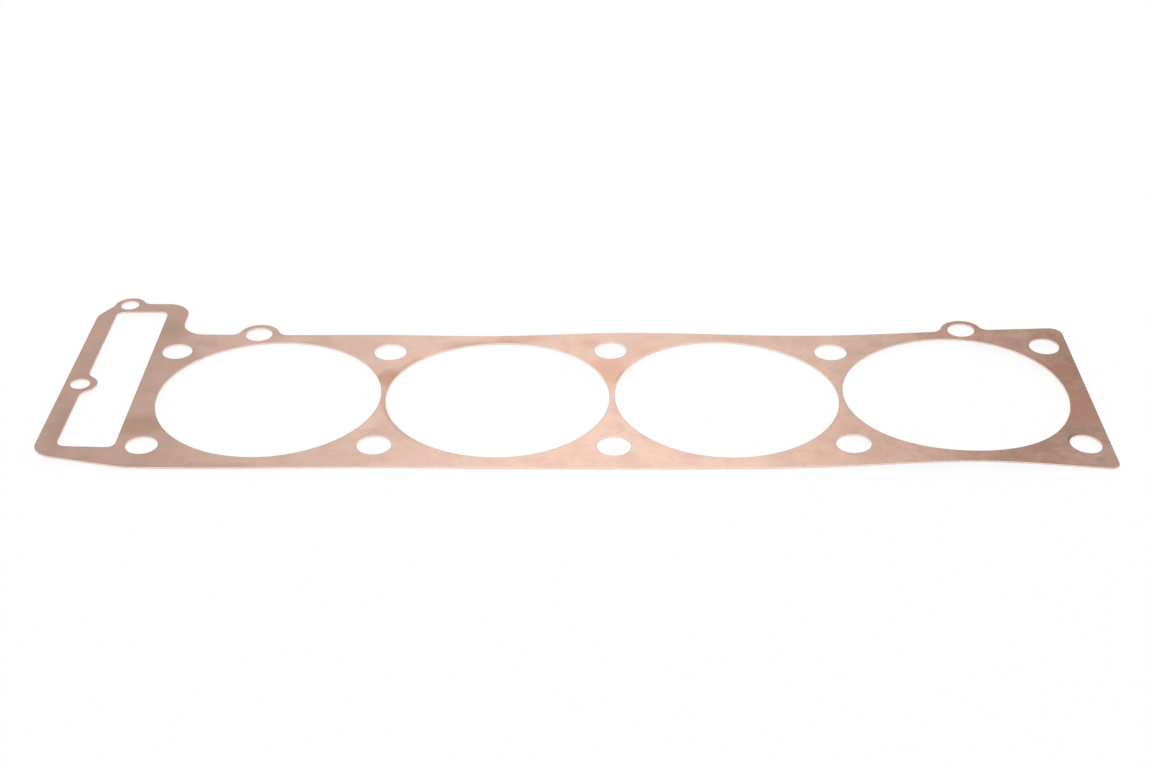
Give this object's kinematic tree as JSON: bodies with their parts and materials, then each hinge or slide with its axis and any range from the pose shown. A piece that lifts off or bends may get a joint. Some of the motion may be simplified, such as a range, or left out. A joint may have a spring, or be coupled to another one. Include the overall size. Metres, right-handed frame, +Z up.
{
  "type": "cylinder base gasket",
  "caption": "Thin stamped copper sheet that seals a row of cylinder bases: large bores on one line, stud holes on the bridges and a long chain window at one end.",
  "frame": {"origin": "midway between the second and third bores, on the surface that the sheet lies on", "axes": "+X along the row of bores, away from the chain window; +Y towards the rear edge with the two dowel lobes; +Z up through the sheet"},
  "size_m": [0.396, 0.1315, 0.0043],
  "materials": {
    "copper": "soft satin copper with light tarnish"
  },
  "bodies": {
    "root": {"gasket_sheet": "copper"}
  },
  "joints": []
}
